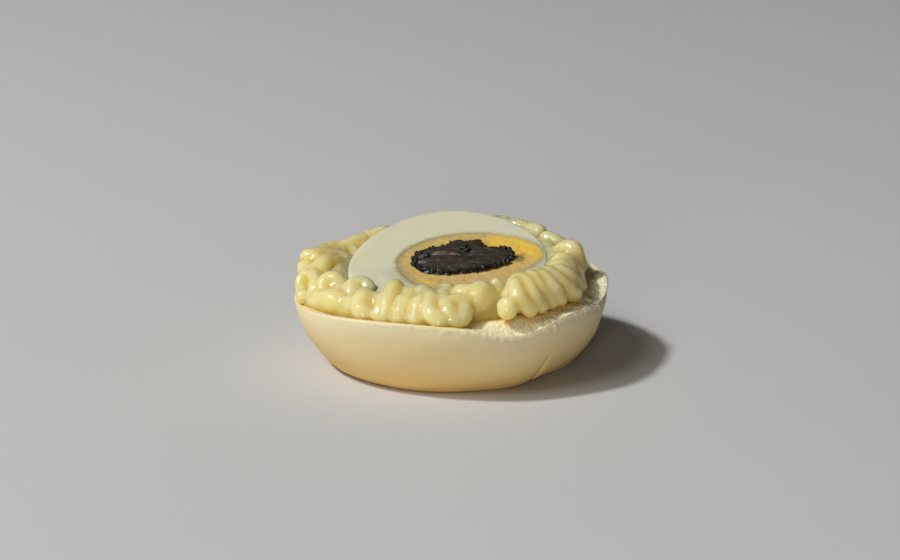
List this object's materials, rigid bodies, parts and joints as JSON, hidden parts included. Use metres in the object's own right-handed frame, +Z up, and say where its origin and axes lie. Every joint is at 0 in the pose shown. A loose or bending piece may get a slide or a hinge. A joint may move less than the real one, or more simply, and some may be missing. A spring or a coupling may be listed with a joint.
{
  "type": "open bread roll with egg and roe",
  "caption": "Open half of a small bread roll, cut face up, with a piped ring of mayonnaise, a lengthwise slice of boiled egg and a patch of dark roe on its yolk.",
  "frame": {"origin": "middle of the roll's flat underside", "axes": "+Z up, +X to the right, +Y to the back, where the narrow end of the egg slice lies"},
  "size_m": [0.0666, 0.0609, 0.0249],
  "materials": {
    "crust": "pale soft crust, golden towards the underside, with torn white crumb at the cut edge",
    "mayonnaise": "glossy pale yellow, slightly translucent",
    "egg_white": "smooth satin, slightly translucent",
    "egg_yolk": "matte and crumbly, orange at one side, tan at the other, with a grey green edge",
    "roe": "wet near black beads round a dark grey brown middle"
  },
  "bodies": {
    "root": {"bread_roll": "crust", "mayonnaise": "mayonnaise", "egg_white": "egg_white", "egg_yolk": "egg_yolk", "roe": "roe"}
  },
  "joints": []
}
